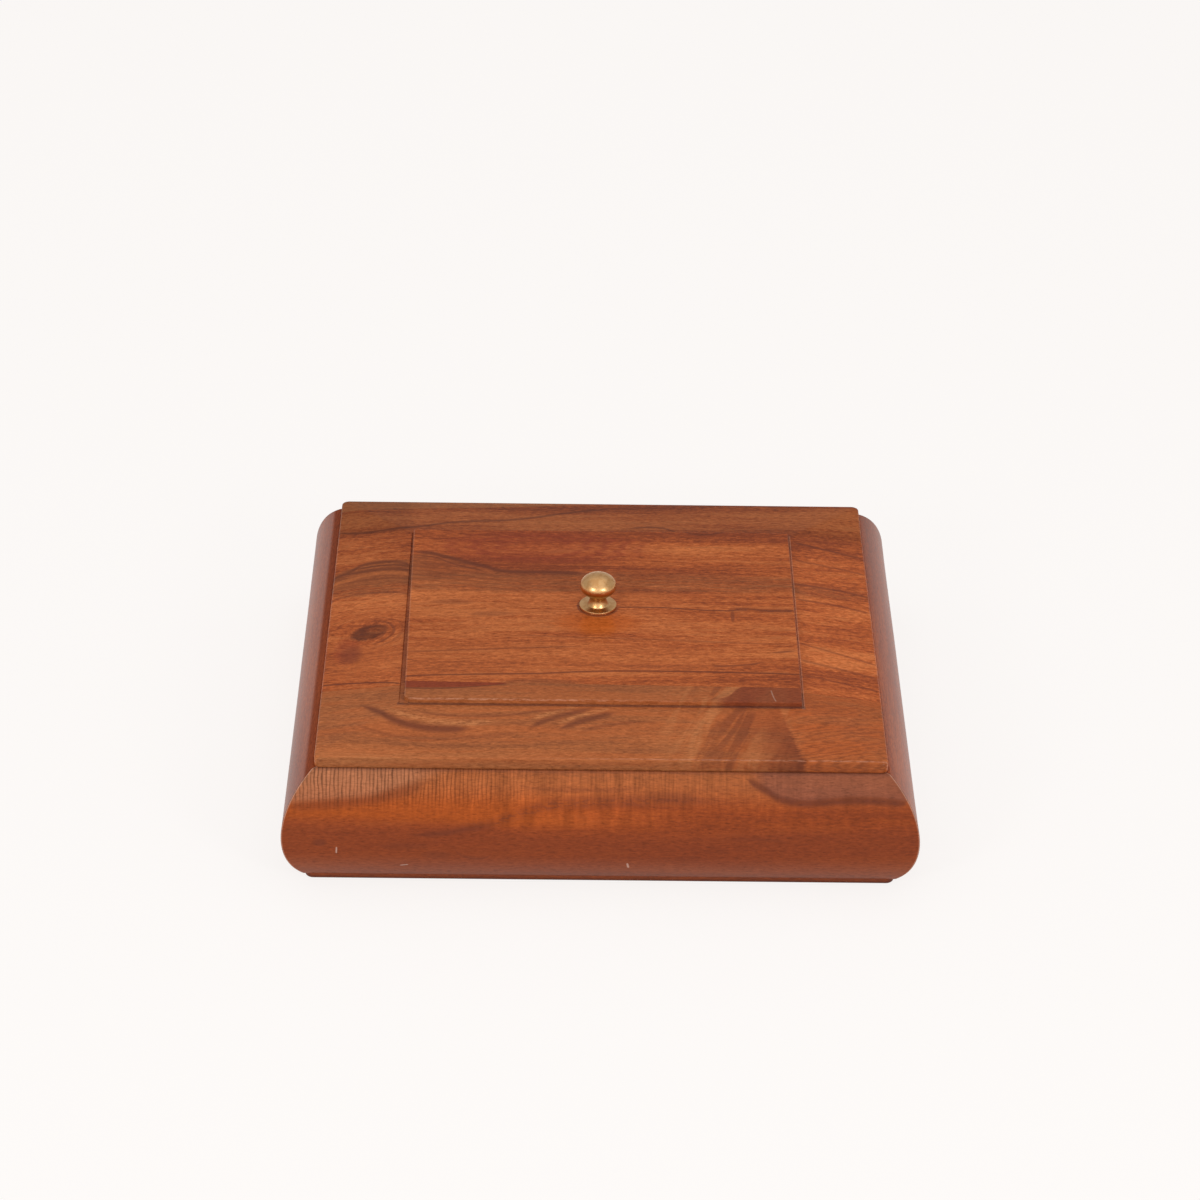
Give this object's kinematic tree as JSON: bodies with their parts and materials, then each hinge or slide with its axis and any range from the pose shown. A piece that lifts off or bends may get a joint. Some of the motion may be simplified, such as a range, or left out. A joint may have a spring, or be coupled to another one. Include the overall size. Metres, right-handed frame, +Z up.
{
  "type": "storage box",
  "caption": "Low rectangular wooden storage box with rounded mitred walls, and a loose lid with a raised field and a turned brass knob that lifts off.",
  "frame": {"origin": "middle of the base board's underside, where the box stands", "axes": "+X to the right along the wide front, -Y towards the front, +Z up and the way the lid lifts"},
  "size_m": [0.305, 0.285, 0.0912],
  "materials": {
    "wall_wood": "satin varnished red-brown hardwood",
    "lid_wood": "satin varnished red-brown hardwood",
    "lid_front_wood": "satin varnished browner hardwood",
    "plain_wood": "bare sanded hardwood",
    "brass": "satin turned brass, lightly tarnished",
    "steel": "zinc-plated"
  },
  "bodies": {
    "box": {"base_board": "wall_wood", "front_wall": "wall_wood", "right_wall": "wall_wood", "back_wall": "wall_wood", "left_wall": "wall_wood", "front_wall_screw_1": "steel", "front_wall_screw_2": "steel", "right_wall_screw_1": "steel", "right_wall_screw_2": "steel", "back_wall_screw_1": "steel", "back_wall_screw_2": "steel", "left_wall_screw_1": "steel", "left_wall_screw_2": "steel", "front_left_corner_spline": "plain_wood", "front_right_corner_spline": "plain_wood", "back_left_corner_spline": "plain_wood", "back_right_corner_spline": "plain_wood"},
    "lid": {"lid_front_board": "lid_front_wood", "lid_back_board": "lid_wood", "left_batten": "plain_wood", "right_batten": "plain_wood", "left_batten_screw_1": "steel", "left_batten_screw_2": "steel", "left_batten_screw_3": "steel", "right_batten_screw_1": "steel", "right_batten_screw_2": "steel", "right_batten_screw_3": "steel", "knob": "brass", "knob_washer": "steel", "knob_screw": "steel"}
  },
  "joints": [
    {"name": "lid_lift", "type": "slide", "parent": "box", "child": "lid", "axis": [0, 0, 1], "range_m": [0, 0.15]}
  ]
}
